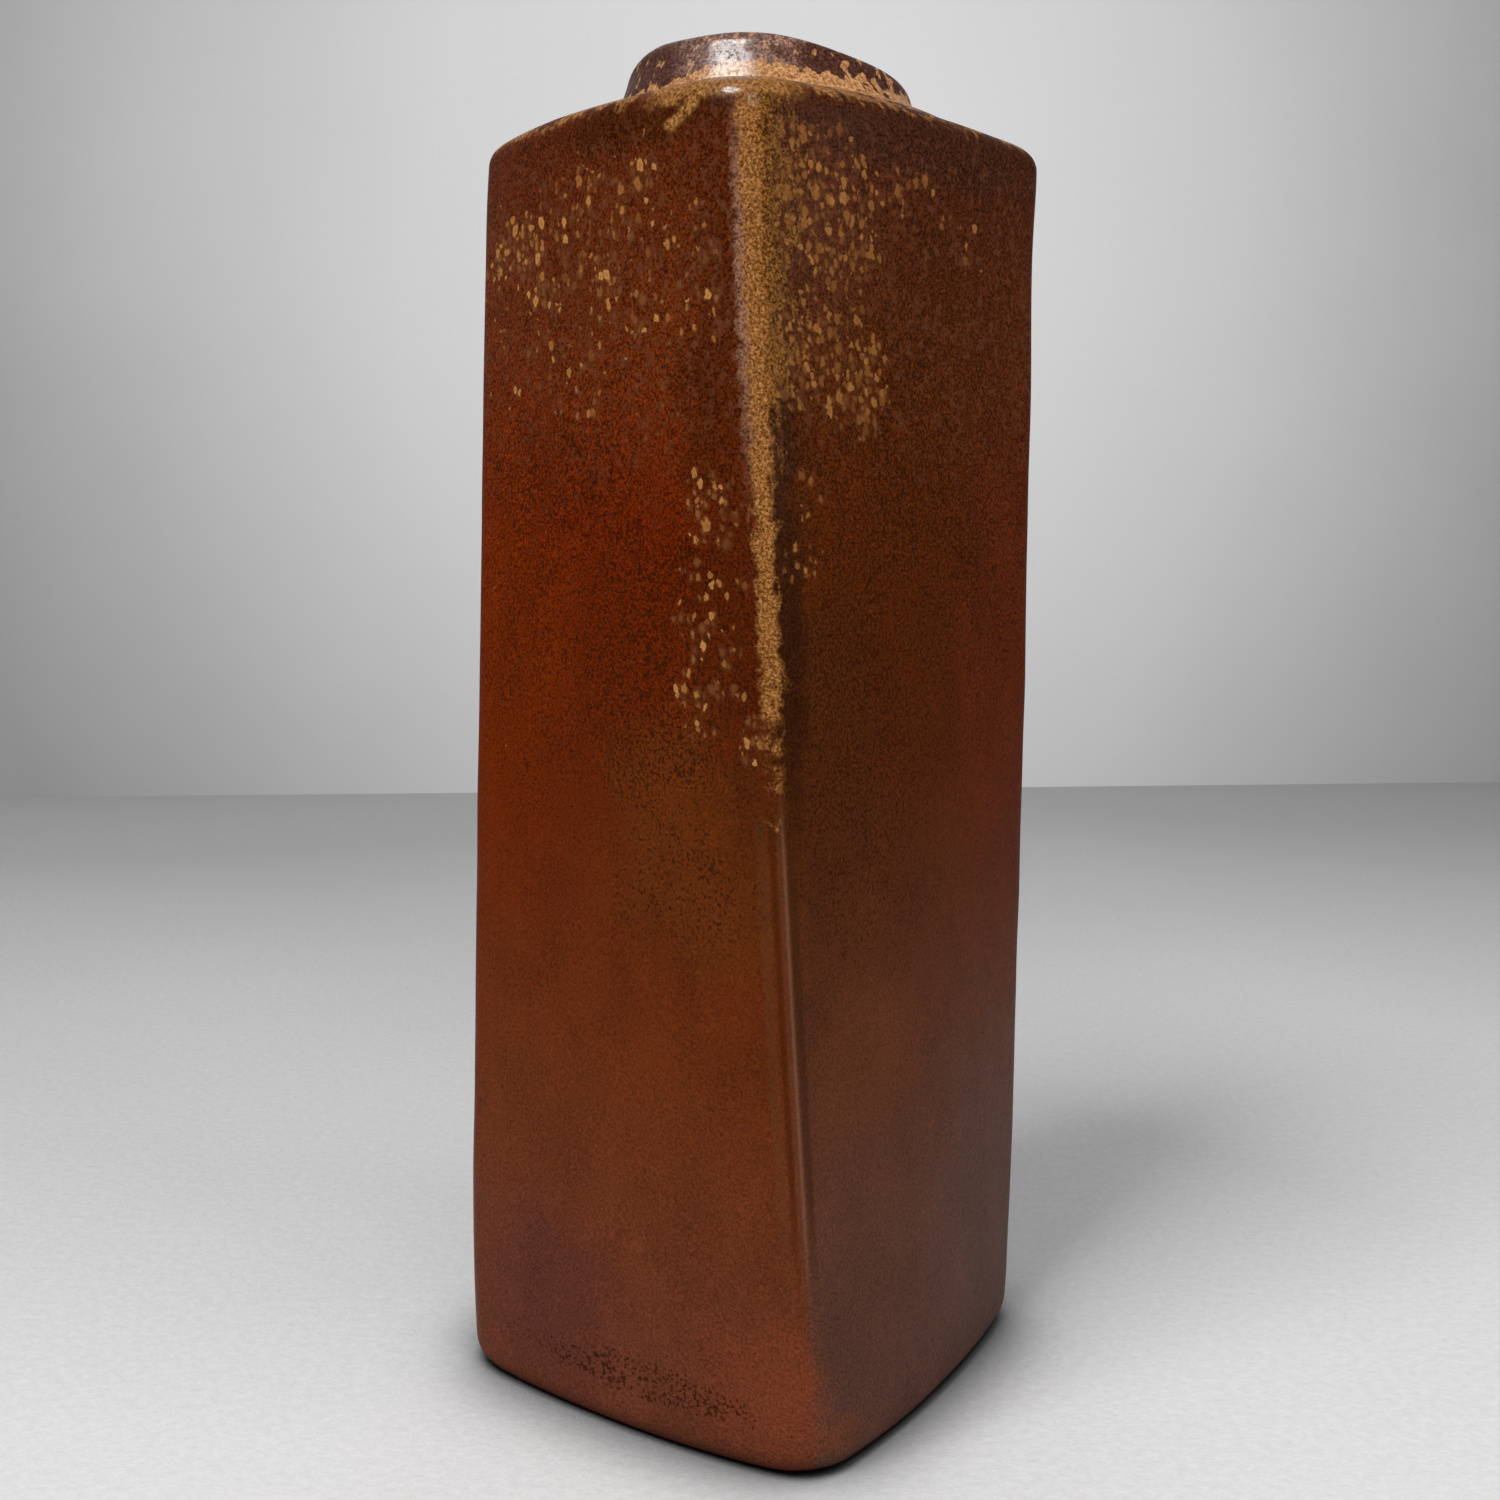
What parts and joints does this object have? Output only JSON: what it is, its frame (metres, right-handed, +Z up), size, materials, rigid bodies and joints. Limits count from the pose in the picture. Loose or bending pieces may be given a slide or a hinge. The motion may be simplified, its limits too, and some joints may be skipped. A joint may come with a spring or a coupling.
{
  "type": "ikebana vase",
  "caption": "Tall square stoneware vase with a slight twist, rounded corners and foot edge, and a short round collar for a mouth.",
  "frame": {"origin": "middle of the foot's resting plane", "axes": "+Z up along the vase's axis; the four sides face -Y, +X, +Y and -X at the foot"},
  "size_m": [0.1004, 0.1004, 0.275],
  "materials": {
    "glaze": "satin red-brown iron glaze with tan ash flecks",
    "liner": "satin dark brown liner glaze",
    "clay": "unglazed fired stoneware",
    "foot_clay": "unglazed fired stoneware, worn smooth on the foot"
  },
  "bodies": {
    "root": {"outer_glaze": "glaze", "liner_glaze": "liner", "collar_ring": "clay", "shoulder_slab": "clay", "shoulder_coil": "clay", "floor_coil": "clay", "floor_slab": "foot_clay", "wall_front": "clay", "wall_right": "clay", "wall_back": "clay", "wall_left": "clay", "corner_coil_front_right": "clay", "corner_coil_right_back": "clay", "corner_coil_back_left": "clay", "corner_coil_left_front": "clay"}
  },
  "joints": []
}
